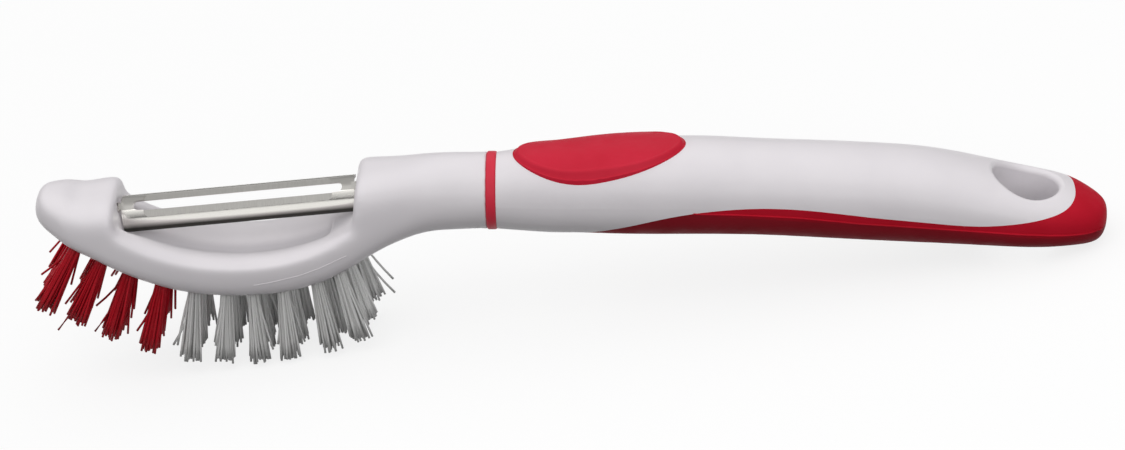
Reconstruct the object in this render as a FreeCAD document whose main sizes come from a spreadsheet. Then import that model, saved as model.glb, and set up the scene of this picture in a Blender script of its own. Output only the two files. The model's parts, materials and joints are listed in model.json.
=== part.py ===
"""A vegetable brush with a swivelling peeler blade.

A white moulded head carries three rows of bristle tufts underneath and a slotted steel blade above.
A red ring parts the head from the white handle, which has a red thumb pad, a red soft back and
a hanging hole.

The brush is built lying level: X runs from the nose (minus) to the tail (plus), with zero where the
head meets the ring, Z is up and the brush is alike on both sides of Y = 0. At the end every piece is
tilted, so that the brush stands on its tufts and its tail, with the origin below the middle of its box.
"""

import FreeCAD, Part
import Sketcher

import math
import os

Vector = FreeCAD.Vector
Rotation = FreeCAD.Rotation
Placement = FreeCAD.Placement

AXIS_X = Vector(1, 0, 0)
AXIS_Y = Vector(0, 1, 0)
AXIS_Z = Vector(0, 0, 1)

doc = FreeCAD.newDocument("vegetable_brush")

# Driving dimensions, in millimetres and degrees
SIZES = (
    ("head_length", 108.7, "nose to ring"),
    ("head_width", 25.4, "widest part of the head"),
    ("head_drop", 24.6, "lowest part of the bow below the handle axis"),
    ("neck_radius", 9.2, "neck and handle where they meet the ring"),
    ("bow_radius", 54.0, "inner arc of the bow"),
    ("bow_depth", 13.6, "inner arc's lowest point below the handle axis"),
    ("bow_middle", 60.6, "inner arc's lowest point in front of the ring"),
    ("wall_draft", 6.0, "lean of the post and neck walls, degrees"),
    ("wall_fillet", 2.0, "hollow corner between a wall and the inner arc"),
    ("rim_round", 1.5, "rounded rim of the bow, post and neck"),
    ("trough_width", 11.0, "groove along the inner arc"),
    ("trough_depth", 1.5, "groove along the inner arc"),
    ("trough_sweep", 50.0, "groove round the inner arc's centre, degrees"),
    ("tang_radius", 5.6, "tang that joins the head to the handle"),
    ("tang_length", 24.0, "tang, from the ring face of the head"),
    ("joint_clearance", 0.05, "glued and pressed joints"),
    ("ring_width", 2.4, "collar ring along the handle"),
    ("ring_proud", 0.2, "collar ring above the neck"),
    ("ring_round", 0.5, "rounded edges of the collar ring"),
    ("handle_length", 145.5, "ring to tail"),
    ("handle_width", 26.6, "widest part of the handle"),
    ("handle_crown", 12.7, "top of the handle above its axis"),
    ("handle_belly", 12.9, "bottom of the tail below the axis"),
    ("grip_thickness", 2.5, "soft back grip"),
    ("pad_length", 41.2, "thumb pad along the handle"),
    ("pad_width", 21.0, "thumb pad across the handle"),
    ("pad_start", 3.9, "ring to the thumb pad"),
    ("pad_proud", 0.9, "thumb pad above the handle"),
    ("pad_seat", 1.8, "depth of the thumb pad's recess"),
    ("pad_round", 0.7, "rounded edge of the thumb pad"),
    ("hole_radius", 7.9, "hanging hole"),
    ("hole_from_tail", 19.7, "hanging hole's axis to the tail"),
    ("hole_wall", 1.9, "white wall of the hanging hole inside the grip"),
    ("hole_round", 1.2, "rounded mouth of the hanging hole"),
    ("blade_length", 56.6, "bent part of the blade"),
    ("blade_radius", 4.7, "outside of the bent sheet"),
    ("blade_sheet", 0.6, "thickness of the sheet"),
    ("blade_middle", 60.0, "middle of the blade in front of the ring"),
    ("blade_drop", 1.5, "blade's pivot below the handle axis, at its middle"),
    ("blade_incline", 5.7, "rise of the blade towards the neck, degrees"),
    ("blade_turn", 37.0, "turn of the blade towards the front side, degrees"),
    ("blade_end_gap", 0.5, "blade to the post and to the neck"),
    ("blade_corner", 1.2, "rounded lower corners of the blade"),
    ("slot_length", 50.8, "slot in the crown of the blade"),
    ("slot_width", 2.5, "slot in the crown of the blade"),
    ("edge_length", 45.8, "ground cutting edges"),
    ("edge_width", 1.8, "ground cutting edges"),
    ("edge_depth", 0.35, "sheet ground away at the slot"),
    ("edge_corner", 1.2, "rounded ends of the ground edges"),
    ("tongue_width", 2.0, "tongue from the sheet to the trunnion"),
    ("trunnion_radius", 1.1, "trunnions of the blade"),
    ("trunnion_length", 3.4, "trunnion inside its socket"),
    ("running_clearance", 0.06, "trunnion in its socket"),
    ("swivel_clearance", 0.5, "blade to the hollow that it swings in"),
    ("tuft_radius", 1.4, "tuft where it leaves the head"),
    ("tuft_tip_radius", 2.4, "tuft at its trimmed end"),
    ("tuft_length", 17.8, "tuft outside the head"),
    ("tuft_straight", 1.1, "straight part before a tuft spreads"),
    ("tuft_depth", 5.5, "tuft inside the head"),
    ("tuft_splay", 5.0, "outward lean of the outer rows, degrees"),
    ("row_spacing", 7.6, "rows of tufts, across the head"),
    ("row_stagger", 1.1, "each row of tufts behind the one in front of it, at the neck end"),
    ("anchor_sheet", 0.45, "flat wire of the anchors"),
    ("anchor_height", 1.8, "anchor along its tuft"),
    ("anchor_bite", 0.5, "anchor pressed into the head at each side"),
    ("overrun", 5.0, "cutting tools past what they cut"),
)

sheet = doc.addObject("Spreadsheet::Sheet", "Sizes")
for row, (alias, value, meaning) in enumerate(SIZES, start=1):
    sheet.set("A%d" % row, str(value))
    sheet.setAlias("A%d" % row, alias)
    sheet.set("B%d" % row, meaning)
doc.recompute()


def size(alias):
    """The value of one driving dimension."""
    return float(sheet.get(alias))


def bind(piece, **expressions):
    """Ties properties of a piece to the sheet."""
    for name, expression in expressions.items():
        piece.setExpression(name, expression)
    return piece


def primitive(kind, name, placement=None, **expressions):
    """A Part primitive whose sizes come from the sheet."""
    piece = doc.addObject("Part::" + kind, name)
    bind(piece, **expressions)
    if placement is not None:
        piece.Placement = placement
    return piece


def shaped(name, shape):
    """A free form that no primitive gives."""
    piece = doc.addObject("Part::Feature", name)
    piece.Shape = shape
    return piece


def boolean(kind, name, base, tool):
    """One boolean of two pieces."""
    piece = doc.addObject("Part::" + kind, name)
    piece.Base = base
    piece.Tool = tool
    return piece


def group(name, pieces):
    """Several pieces held together."""
    piece = doc.addObject("Part::Compound", name)
    piece.Links = pieces
    return piece


def rounded(name, base, radius, chosen):
    """Fillets the chosen edges of a piece, all with one radius."""
    doc.recompute()
    edges = base.Shape.Edges
    picked = [(number, radius, radius) for number, edge in enumerate(edges, start=1) if chosen(edge)]
    piece = doc.addObject("Part::Fillet", name)
    piece.Base = base
    piece.Edges = picked
    return piece


# Cross-sections
# Each row of a table is one station: its place along the piece, its width, its top and its bottom,
# all as shares, and the power of its rounded outline, where 2 is an ellipse and a higher power is squarer.
SECTION_POINTS = 32

head_station_shares = (
    (0.999, 0.170, -0.300, 0.240, 2.3),
    (0.9931, 0.320, -0.070, 0.284, 2.4),
    (0.9742, 0.560, 0.090, 0.345, 2.6),
    (0.9439, 0.750, 0.085, 0.427, 2.8),
    (0.9135, 0.865, -0.020, 0.500, 3.1),
    (0.8905, 0.918, -0.065, 0.541, 3.3),
    (0.8657, 0.961, -0.035, 0.585, 3.6),
    (0.8296, 0.984, 0.000, 0.671, 4.0),
    (0.7488, 0.992, 0.050, 0.8455, 4.0),
    (0.6828, 1.000, 0.080, 0.939, 4.0),
    (0.6173, 1.000, 0.150, 0.988, 4.0),
    (0.5429, 1.000, 0.235, 1.000, 4.0),
    (0.4710, 1.000, 0.340, 0.976, 4.0),
    (0.4000, 0.984, 0.445, 0.9065, 4.0),
    (0.3419, 0.953, 0.540, 0.809, 3.9),
    (0.2867, 0.9055, 0.635, 0.671, 3.6),
    (0.2227, 0.819, 0.743, 0.516, 3.0),
    (0.1576, 0.756, 0.880, 0.415, 2.4),
    (0.0916, 0.728, 0.978, 0.380, 2.1),
    (0.0463, 0.7244, 0.995, 0.376, 2.0),
)
handle_station_shares = (
    (0.018, 0.714, 0.748, 0.721, 2.05),
    (0.038, 0.744, 0.780, 0.729, 2.1),
    (0.087, 0.820, 0.835, 0.748, 2.15),
    (0.136, 0.880, 0.890, 0.736, 2.2),
    (0.185, 0.925, 0.941, 0.740, 2.25),
    (0.234, 0.947, 0.957, 0.748, 2.25),
    (0.333, 0.955, 0.969, 0.750, 2.25),
    (0.430, 0.940, 0.917, 0.771, 2.25),
    (0.5285, 0.940, 0.870, 0.833, 2.25),
    (0.627, 0.947, 0.803, 0.891, 2.3),
    (0.725, 0.970, 0.665, 0.930, 2.35),
    (0.823, 1.000, 0.374, 0.950, 2.45),
    (0.897, 0.970, 0.165, 0.957, 2.5),
    (0.9457, 0.827, 0.035, 0.965, 2.4),
    (0.970, 0.677, -0.087, 0.969, 2.3),
    (0.987, 0.489, -0.197, 0.922, 2.2),
    (0.9952, 0.316, -0.280, 0.814, 2.1),
    (0.9993, 0.120, -0.410, 0.667, 2.0),
)


def section(along, half_width, top, bottom, power, split=False):
    """A closed rounded outline across the brush, or the two halves of one, which meet at its sides."""
    begin = 0 if split else -math.pi / 2
    middle = (top + bottom) / 2
    half_height = (top - bottom) / 2
    points = []
    for step in range(SECTION_POINTS):
        turn = begin + 2 * math.pi * step / SECTION_POINTS
        across = math.copysign(abs(math.cos(turn)) ** (2 / power), math.cos(turn))
        up = math.copysign(abs(math.sin(turn)) ** (2 / power), math.sin(turn))
        points.append(Vector(along, half_width * across, middle + half_height * up))
    curve = Part.BSplineCurve()
    curve.interpolate(points, PeriodicFlag=True)
    if not split:
        return Part.Wire([curve.toShape()])
    joint = curve.parameter(points[SECTION_POINTS // 2])
    halves = ((curve.FirstParameter, joint), (joint, curve.LastParameter))
    return Part.Wire([curve.toShape(*half) for half in halves])


LOFT_DEGREE = 5
ROUND_POWER = 2.0


def head_form():
    """The head without its gap: nose, post, bow and neck in one skin."""
    half_width = size("head_width") / 2
    neck = size("neck_radius")
    outlines = []
    for along, wide, high, low, power in head_station_shares:
        top = high * neck
        bottom = -low * size("head_drop")
        outlines.append(section(-along * size("head_length"), wide * half_width, top, bottom, power))
    outlines.append(section(0, neck, neck, -neck, ROUND_POWER))
    return Part.makeLoft(outlines, True, False, False, LOFT_DEGREE)


def handle_form(outward):
    """The outside of the handle, or a skin that lies the given distance outside or inside it."""
    half_width = size("handle_width") / 2
    start = size("ring_width")
    neck = size("neck_radius") + outward
    length = size("handle_length") + outward
    outlines = [section(start, neck, neck, -neck, ROUND_POWER, split=True)]
    for along, wide, high, low, power in handle_station_shares:
        reach = wide * half_width + outward
        if reach < -outward:
            continue
        top = high * size("handle_crown") + outward
        bottom = -low * size("handle_belly") - outward
        outlines.append(section(start + along * length, reach, top, bottom, power, split=True))
    return Part.makeLoft(outlines, True, False, False, LOFT_DEGREE)


# Blade: its pivot line and its frame
pivot_middle = Vector(-size("blade_middle"), 0, -size("blade_drop"))
incline = Rotation(AXIS_Y, -size("blade_incline"))
pivot_line = incline.multVec(AXIS_X)
crown_to_centre = size("blade_radius") - size("blade_sheet") / 2
half_gap = size("blade_length") / 2 + size("blade_end_gap")
blade_frame = Placement(pivot_middle, incline.multiply(Rotation(AXIS_X, size("blade_turn"))))
along_blade = Rotation(Vector(1, 1, 1), 120)


def blade_place(along, across, up):
    """A place on the blade, measured from the middle of its pivot line."""
    return Placement(Vector(along, across, up), Rotation())


def blade_bar(name, start, radius, height, placement):
    """A round bar along the pivot line."""
    where = placement.multiply(Placement(Vector(start, 0, 0), along_blade))
    return primitive("Cylinder", name, where, Radius=radius, Height=height)


def near(value, target, slack=size("joint_clearance")):
    """True for two lengths that are alike."""
    return abs(value - target) < slack


# peeler_blade: half a tube of sheet, slotted along its crown, with a trunnion at each end
half_blade = size("blade_length") / 2
arch_place = Placement(Vector(-half_blade, 0, -crown_to_centre), along_blade)
arch_outside = primitive(
    "Cylinder", "arch_outside", arch_place, Radius="Sizes.blade_radius", Height="Sizes.blade_length"
)
arch_outside.Angle = 180
inside_place = Placement(Vector(-half_blade - size("overrun"), 0, -crown_to_centre), along_blade)
arch_inside = primitive(
    "Cylinder",
    "arch_inside",
    inside_place,
    Radius="Sizes.blade_radius - Sizes.blade_sheet",
    Height="Sizes.blade_length + 2 * Sizes.overrun",
)
arch = boolean("Cut", "arch", arch_outside, arch_inside)
arch_rounded = rounded(
    "arch_rounded",
    arch,
    size("blade_corner"),
    lambda edge: near(edge.Length, size("blade_sheet")) and near(abs(edge.CenterOfMass.x), half_blade),
)

slot_straight = size("slot_length") - size("slot_width")
slot_middle = primitive(
    "Box",
    "slot_middle",
    blade_place(-slot_straight / 2, -size("slot_width") / 2, -size("blade_radius")),
    Length="Sizes.slot_length - Sizes.slot_width",
    Width="Sizes.slot_width",
    Height="Sizes.blade_radius + Sizes.overrun",
)
slot_ends = [
    primitive(
        "Cylinder",
        "slot_end_%d" % number,
        blade_place(side * slot_straight / 2, 0, -size("blade_radius")),
        Radius="Sizes.slot_width / 2",
        Height="Sizes.blade_radius + Sizes.overrun",
    )
    for number, side in enumerate((-1, 1), start=1)
]
slot = doc.addObject("Part::MultiFuse", "slot")
slot.Shapes = [slot_middle] + slot_ends
arch_slotted = boolean("Cut", "arch_slotted", arch_rounded, slot)

# The grinding planes: each runs from the outside of the sheet down to the slot, where it is deepest
slot_angle = math.asin(size("slot_width") / 2 / size("blade_radius"))
far_angle = slot_angle + size("edge_width") / size("blade_radius")
ground_out = Vector(0, math.sin(far_angle), math.cos(far_angle)) * size("blade_radius")
ground_depth = size("blade_radius") - size("edge_depth")
ground_in = Vector(0, math.sin(slot_angle), math.cos(slot_angle)) * ground_depth
ground_slope = math.degrees(math.atan2(ground_in.z - ground_out.z, ground_out.y - ground_in.y))
ground_blade = arch_slotted
for number, side in enumerate((-1, 1), start=1):
    plane_turn = Rotation(AXIS_X, -side * ground_slope)
    foot = Vector(0, side * ground_out.y, ground_out.z - crown_to_centre)
    corner = Vector(-size("edge_length") / 2, min(0, -side) * 2 * size("edge_width"), 0)
    wheel = primitive(
        "Box",
        "grinding_%d" % number,
        Placement(foot + plane_turn.multVec(corner), plane_turn),
        Length="Sizes.edge_length",
        Width="2 * Sizes.edge_width",
        Height="Sizes.blade_radius",
    )
    flat = Placement(foot, plane_turn).inverse()
    wheel_rounded = rounded(
        "grinding_rounded_%d" % number,
        wheel,
        size("edge_corner"),
        lambda edge: near(edge.Length, size("blade_radius")) and near(flat.multVec(edge.CenterOfMass).y, 0),
    )
    ground_blade = boolean("Cut", "ground_%d" % number, ground_blade, wheel_rounded)

blade_ends = []
for number, side in enumerate((-1, 1), start=1):
    tongue_reach = half_gap + size("trunnion_length") / 2
    tongue_start = half_blade - size("blade_sheet") if side > 0 else -tongue_reach
    tongue = primitive(
        "Box",
        "tongue_%d" % number,
        blade_place(tongue_start, -size("tongue_width") / 2, -size("blade_sheet") / 2),
        Length="Sizes.blade_sheet + Sizes.blade_end_gap + Sizes.trunnion_length / 2",
        Width="Sizes.tongue_width",
        Height="Sizes.blade_sheet",
    )
    trunnion_start = half_gap if side > 0 else -half_gap - size("trunnion_length")
    trunnion = blade_bar(
        "trunnion_%d" % number, trunnion_start, "Sizes.trunnion_radius", "Sizes.trunnion_length", Placement()
    )
    blade_ends += [tongue, trunnion]
peeler_blade = doc.addObject("Part::MultiFuse", "peeler_blade")
peeler_blade.Shapes = [ground_blade] + blade_ends

# brush_head: the skin, then the gap over the bow, then the hollows for the blade
head_skin = shaped("head_skin", head_form())
arc_centre = (-size("bow_middle"), size("bow_radius") - size("bow_depth"))


def side_point(point):
    """A point of a side outline, on the front side of everything."""
    return Vector(point[0], -size("head_width"), point[1])


def wall_corner(side):
    """One wall of the gap: its top, then the start, middle and end of its hollow corner on the arc."""
    foot = pivot_middle + pivot_line * (side * half_gap)
    draft = math.radians(size("wall_draft"))
    up = (side * math.sin(draft), math.cos(draft))
    inward = (-side * math.cos(draft), math.sin(draft))
    fillet = size("wall_fillet")
    start = (foot.x + fillet * inward[0] - arc_centre[0], foot.z + fillet * inward[1] - arc_centre[1])
    reach = size("bow_radius") - fillet
    along = start[0] * up[0] + start[1] * up[1]
    climb = -along - math.sqrt(along**2 - (start[0] ** 2 + start[1] ** 2 - reach**2))
    centre = (arc_centre[0] + start[0] + climb * up[0], arc_centre[1] + start[1] + climb * up[1])
    on_wall = (centre[0] - fillet * inward[0], centre[1] - fillet * inward[1])
    on_arc = tuple(a + (c - a) * size("bow_radius") / reach for a, c in zip(arc_centre, centre))
    half_way = [(w + a) / 2 - c for w, a, c in zip(on_wall, on_arc, centre)]
    middle = tuple(c + fillet * m / math.hypot(*half_way) for c, m in zip(centre, half_way))
    top = size("neck_radius") + size("overrun")
    wall_top = (on_wall[0] + up[0] / up[1] * (top - on_wall[1]), top)
    return wall_top, on_wall, middle, on_arc


post_wall = [side_point(point) for point in wall_corner(-1)]
neck_wall = [side_point(point) for point in wall_corner(1)]
arc_low = side_point((arc_centre[0], -size("bow_depth")))
gap_outline = [
    Part.LineSegment(post_wall[0], post_wall[1]),
    Part.Arc(post_wall[1], post_wall[2], post_wall[3]),
    Part.Arc(post_wall[3], arc_low, neck_wall[3]),
    Part.Arc(neck_wall[3], neck_wall[2], neck_wall[1]),
    Part.LineSegment(neck_wall[1], neck_wall[0]),
    Part.LineSegment(neck_wall[0], post_wall[0]),
]
gap_face = Part.Face(Part.Wire([line.toShape() for line in gap_outline]))
gap = shaped("gap", gap_face.extrude(Vector(0, 2 * size("head_width"), 0)))
head_open = boolean("Cut", "head_open", head_skin, gap)


def on_rim(edge):
    """True for the edges where the gap breaks through the skin."""
    box = edge.BoundBox
    beside = post_wall[0].x - size("overrun") < box.XMin and box.XMax < neck_wall[0].x + size("overrun")
    return beside and not near(edge.Length, box.YLength)


head_rimmed = rounded("head_rimmed", head_open, size("rim_round"), on_rim)

trough_turn = Rotation(AXIS_X, 90).multiply(Rotation(AXIS_Z, -90 - size("trough_sweep") / 2))
trough_tube = "((Sizes.trough_width / 2) ^ 2 + Sizes.trough_depth ^ 2) / (2 * Sizes.trough_depth)"
trough = primitive(
    "Torus",
    "trough",
    Placement(Vector(arc_centre[0], 0, arc_centre[1]), trough_turn),
    Radius1="Sizes.bow_radius + Sizes.trough_depth - " + trough_tube,
    Radius2=trough_tube,
    Angle3="Sizes.trough_sweep",
)
head_grooved = boolean("Cut", "head_grooved", head_rimmed, trough)

# The hollow that the blade swings in stops just short of the two walls
pivot_frame = Placement(pivot_middle, incline)
hollow_end_share = 0.8
swing = "sqrt((Sizes.blade_radius - Sizes.blade_sheet / 2) ^ 2 + Sizes.blade_radius ^ 2)"
blade_hollow = blade_bar(
    "blade_hollow",
    -half_blade - hollow_end_share * size("blade_end_gap"),
    swing + " + Sizes.swivel_clearance",
    "Sizes.blade_length + 2 * %g * Sizes.blade_end_gap" % hollow_end_share,
    pivot_frame,
)
head_hollowed = boolean("Cut", "head_hollowed", head_grooved, blade_hollow)
socket_reach = half_gap + size("trunnion_length") + size("running_clearance")
sockets = blade_bar(
    "trunnion_sockets",
    -socket_reach,
    "Sizes.trunnion_radius + Sizes.running_clearance",
    "Sizes.blade_length + 2 * (Sizes.blade_end_gap + Sizes.trunnion_length + Sizes.running_clearance)",
    pivot_frame,
)
head_socketed = boolean("Cut", "head_socketed", head_hollowed, sockets)
tang = primitive(
    "Cylinder",
    "tang",
    Placement(Vector(-size("overrun"), 0, 0), Rotation(AXIS_Y, 90)),
    Radius="Sizes.tang_radius",
    Height="Sizes.tang_length + Sizes.overrun",
)
head_tanged = boolean("Fuse", "head_tanged", head_socketed, tang)

# Tufts: each station has its place along the head, as a share of the head's length, and its lean to the nose
tuft_station_shares = (0.909, 0.851, 0.793, 0.7245, 0.652, 0.581, 0.521, 0.454, 0.378, 0.327)
tuft_leans = (28.5, 24.5, 18.5, 13.5, 5.5, 3.5, -3.5, -4.0, -9.5, -15.0)
RED_STATIONS = 4
ROWS = (("front", -1), ("middle", 0), ("back", 1))


def tuft_frame(along_share, lean, side):
    """A frame on the underside of the head whose Z runs out along the tuft."""
    turn = Rotation(AXIS_X, side * size("tuft_splay")).multiply(Rotation(AXIS_Y, 180 + lean))
    fan = (tuft_station_shares[0] - along_share) / (tuft_station_shares[0] - tuft_station_shares[-1])
    along = (side + 1) * fan * size("row_stagger") - along_share * size("head_length")
    above = Vector(along, side * size("row_spacing"), -size("bow_depth") / 2)
    probe = Part.makeLine(above, above - AXIS_Z * size("head_drop"))
    inside = probe.common(head_skin.Shape)
    leaves = min((vertex.Point for vertex in inside.Vertexes), key=lambda point: point.z)
    return Placement(leaves, turn)


tufts = []
holes = []
anchors = []
for station, (along_share, lean) in enumerate(zip(tuft_station_shares, tuft_leans), start=1):
    red = station <= RED_STATIONS
    colour = "red" if red else "grey"
    number = station if red else station - RED_STATIONS
    for row_name, side in ROWS:
        name = "tuft_%s_%d_%s" % (colour, number, row_name)
        frame = tuft_frame(along_share, lean, side)
        foot = Placement(Vector(0, 0, -size("tuft_depth")), Rotation())
        stem = primitive(
            "Cylinder",
            name + "_stem",
            foot,
            Radius="Sizes.tuft_radius",
            Height="Sizes.tuft_depth + Sizes.tuft_straight",
        )
        spread = primitive(
            "Cone",
            name + "_spread",
            Placement(Vector(0, 0, size("tuft_straight")), Rotation()),
            Radius1="Sizes.tuft_radius",
            Radius2="Sizes.tuft_tip_radius",
            Height="Sizes.tuft_length - Sizes.tuft_straight",
        )
        whole = boolean("Fuse", name + "_whole", stem, spread)
        half_anchor = size("tuft_radius") + size("joint_clearance") + size("anchor_bite")
        corner = Vector(-size("anchor_sheet") / 2, -half_anchor, -size("tuft_depth"))
        anchor_sizes = {
            "Length": "Sizes.anchor_sheet",
            "Width": "2 * (Sizes.tuft_radius + Sizes.joint_clearance + Sizes.anchor_bite)",
            "Height": "Sizes.anchor_height",
        }
        notch = primitive("Box", name + "_notch", Placement(corner, Rotation()), **anchor_sizes)
        tuft = boolean("Cut", name, whole, notch)
        tuft.Placement = frame
        tufts.append(tuft)
        seat = frame.multiply(Placement(corner, Rotation()))
        anchors.append(primitive("Box", name + "_anchor", seat, **anchor_sizes))
        drill_foot = Placement(Vector(0, 0, -size("tuft_depth") - size("joint_clearance")), Rotation())
        holes.append(
            primitive(
                "Cylinder",
                name + "_hole",
                frame.multiply(drill_foot),
                Radius="Sizes.tuft_radius + Sizes.joint_clearance",
                Height="Sizes.tuft_depth + Sizes.joint_clearance + Sizes.overrun",
            )
        )
head_drilled = boolean("Cut", "head_drilled", head_tanged, group("tuft_holes", holes))
brush_head = boolean("Cut", "brush_head", head_drilled, group("anchor_seats", anchors))
tuft_anchors = group("tuft_anchors", anchors)

# collar_ring: a red ring round the tang
collar_ring = doc.addObject("PartDesign::Body", "collar_ring")


def origin_plane(body, role):
    """One of a body's own origin planes."""
    return next(feature for feature in body.Origin.OriginFeatures if feature.Role == role)


ring_sketch = collar_ring.newObject("Sketcher::SketchObject", "ring_sketch")
ring_sketch.AttachmentSupport = [(origin_plane(collar_ring, "YZ_Plane"), "")]
ring_sketch.MapMode = "FlatFace"
ring_circles = (
    ("outside", "Sizes.neck_radius + Sizes.ring_proud", size("neck_radius") + size("ring_proud")),
    ("bore", "Sizes.tang_radius + Sizes.joint_clearance", size("tang_radius") + size("joint_clearance")),
)
for number, (name, expression, radius) in enumerate(ring_circles):
    ring_sketch.addGeometry(Part.Circle(Vector(0, 0, 0), AXIS_Z, radius))
    ring_sketch.addConstraint(Sketcher.Constraint("Coincident", number, 3, -1, 1))
    constraint = ring_sketch.addConstraint(Sketcher.Constraint("Radius", number, radius))
    ring_sketch.renameConstraint(constraint, name)
    ring_sketch.setExpression("Constraints." + name, expression)
ring_pad = collar_ring.newObject("PartDesign::Pad", "ring_pad")
ring_pad.Profile = ring_sketch
bind(ring_pad, Length="Sizes.ring_width")
doc.recompute()
ring_edges = [
    "Edge%d" % number
    for number, edge in enumerate(ring_pad.Shape.Edges, start=1)
    if isinstance(edge.Curve, Part.Circle) and near(edge.Curve.Radius, ring_circles[0][2])
]
ring_fillet = collar_ring.newObject("PartDesign::Fillet", "ring_fillet")
ring_fillet.Base = (ring_pad, ring_edges)
bind(ring_fillet, Radius="Sizes.ring_round")

# back_grip: the part of the handle's skin below a wavy line, around a smaller core
handle_skin = shaped("handle_skin", handle_form(0))
grip_inside = shaped("grip_inside", handle_form(-size("grip_thickness")))
# The line's points are shares of the handle's length from the ring and of its crown above the axis
grip_line_shares = (
    (0.080, -1.000),
    (0.136, -0.650),
    (0.219, -0.304),
    (0.284, -0.083),
    (0.349, 0.044),
    (0.423, 0.100),
    (0.510, 0.054),
    (0.608, -0.088),
    (0.705, -0.200),
    (0.785, -0.258),
    (0.834, -0.223),
    (0.899, -0.124),
    (0.933, -0.032),
    (0.951, 0.080),
    (0.960, 0.450),
)


def handle_point(along, up):
    """A point of the handle's side outline, on the front side of everything."""
    along = size("ring_width") + along * size("handle_length")
    return Vector(along, -size("handle_width"), up * size("handle_crown"))


grip_curve = Part.BSplineCurve()
grip_curve.interpolate([handle_point(*share) for share in grip_line_shares])
below = -size("handle_belly") - size("overrun")
behind = size("ring_width") + size("handle_length") + size("overrun")
line_start = grip_curve.StartPoint
line_end = grip_curve.EndPoint
grip_corners = [
    line_end,
    Vector(behind, line_end.y, line_end.z),
    Vector(behind, line_end.y, below),
    Vector(line_start.x, line_start.y, below),
    line_start,
]
grip_sides = [Part.LineSegment(a, b).toShape() for a, b in zip(grip_corners, grip_corners[1:])]
grip_face = Part.Face(Part.Wire([grip_curve.toShape()] + grip_sides))
grip_side = shaped("grip_side", grip_face.extrude(Vector(0, 2 * size("handle_width"), 0)))

hole_along = size("ring_width") + size("handle_length") - size("hole_from_tail")
hole_foot = Placement(Vector(hole_along, 0, below), Rotation(AXIS_Z, 90))
through = "Sizes.handle_belly + Sizes.handle_crown + 2 * Sizes.overrun"
boss_radius = "Sizes.hole_radius + Sizes.hole_wall"
hole_boss = primitive("Cylinder", "hole_boss", hole_foot, Radius=boss_radius, Height=through)
hanging_hole = primitive("Cylinder", "hanging_hole", hole_foot, Radius="Sizes.hole_radius", Height=through)
grip_zone = boolean("Cut", "grip_zone", grip_side, hole_boss)
grip_outside = boolean("Common", "grip_outside", handle_skin, grip_zone)
back_grip = boolean("Cut", "back_grip", grip_outside, grip_inside)

# thumb_pad: an oval plug let into the top of the handle and standing a little proud of it
pad_middle = size("ring_width") + size("pad_start") + size("pad_length") / 2
pad_oval = primitive(
    "Ellipse",
    "pad_oval",
    Placement(Vector(pad_middle, 0, 0), Rotation()),
    MajorRadius="Sizes.pad_length / 2",
    MinorRadius="Sizes.pad_width / 2",
)
pad_plug = doc.addObject("Part::Extrusion", "pad_plug")
pad_plug.Base = pad_oval
pad_plug.DirMode = "Custom"
pad_plug.Dir = AXIS_Z
pad_plug.Solid = True
bind(pad_plug, LengthFwd="Sizes.handle_crown + Sizes.overrun")
pad_above = shaped("pad_above", handle_form(size("pad_proud")))
pad_below = shaped("pad_below", handle_form(-size("pad_seat")))
pad_recess = boolean("Cut", "pad_recess", pad_plug, pad_below)
pad_blank = boolean("Common", "pad_blank", pad_recess, pad_above)


def on_pad_rim(edge):
    """True for the upper edge of the pad."""
    return edge.Length > size("pad_length") and edge.BoundBox.ZMax > pad_top - near_top


doc.recompute()
pad_top = pad_blank.Shape.BoundBox.ZMax
near_top = size("pad_seat")
thumb_pad = rounded("thumb_pad", pad_blank, size("pad_round"), on_pad_rim)

# handle_core: what is left of the handle, with the socket for the tang and the hanging hole
core_above = boolean("Cut", "core_above", handle_skin, grip_zone)
core_backed = boolean("Fuse", "core_backed", core_above, grip_inside)
core_topped = boolean("Cut", "core_topped", core_backed, pad_recess)
tang_socket = primitive(
    "Cylinder",
    "tang_socket",
    Placement(Vector(0, 0, 0), Rotation(AXIS_Y, 90)),
    Radius="Sizes.tang_radius + Sizes.joint_clearance",
    Height="Sizes.tang_length + Sizes.joint_clearance",
)
core_socketed = boolean("Cut", "core_socketed", core_topped, tang_socket)
core_holed = boolean("Cut", "core_holed", core_socketed, hanging_hole)
EDGE_POINTS = 5


def on_hole_mouth(edge):
    """True for the edges round the two ends of the hanging hole."""
    reaches = [math.hypot(point.x - hole_along, point.y) for point in edge.discretize(EDGE_POINTS)]
    upright = near(edge.Length, edge.BoundBox.ZLength)
    return not upright and all(near(reach, size("hole_radius")) for reach in reaches)


handle_core = rounded("handle_core", core_holed, size("hole_round"), on_hole_mouth)
doc.recompute()

fixed = [brush_head, collar_ring, handle_core, thumb_pad, back_grip, tuft_anchors]
sub_parts = fixed + tufts + [peeler_blade]

# The brush stands on its tufts and on the tail: the tilt that brings both to one level is found by trial
TRIALS = 6


def tuft_lowest(turn):
    """The lowest point of the tufts' trimmed ends, once turned, with where it lies along the brush."""
    points = []
    for tuft in tufts:
        out = turn.multVec(tuft.Placement.Rotation.multVec(AXIS_Z))
        end = turn.multVec(tuft.Placement.Base) + out * size("tuft_length")
        points.append((end.z - size("tuft_tip_radius") * math.sqrt(1 - out.z**2), end.x))
    return min(points)


def tail_lowest(turn):
    """The lowest point of the grip, once turned."""
    shape = back_grip.Shape.copy()
    shape.Placement = Placement(Vector(), turn)
    return shape.optimalBoundingBox(False, False).ZMin


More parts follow.
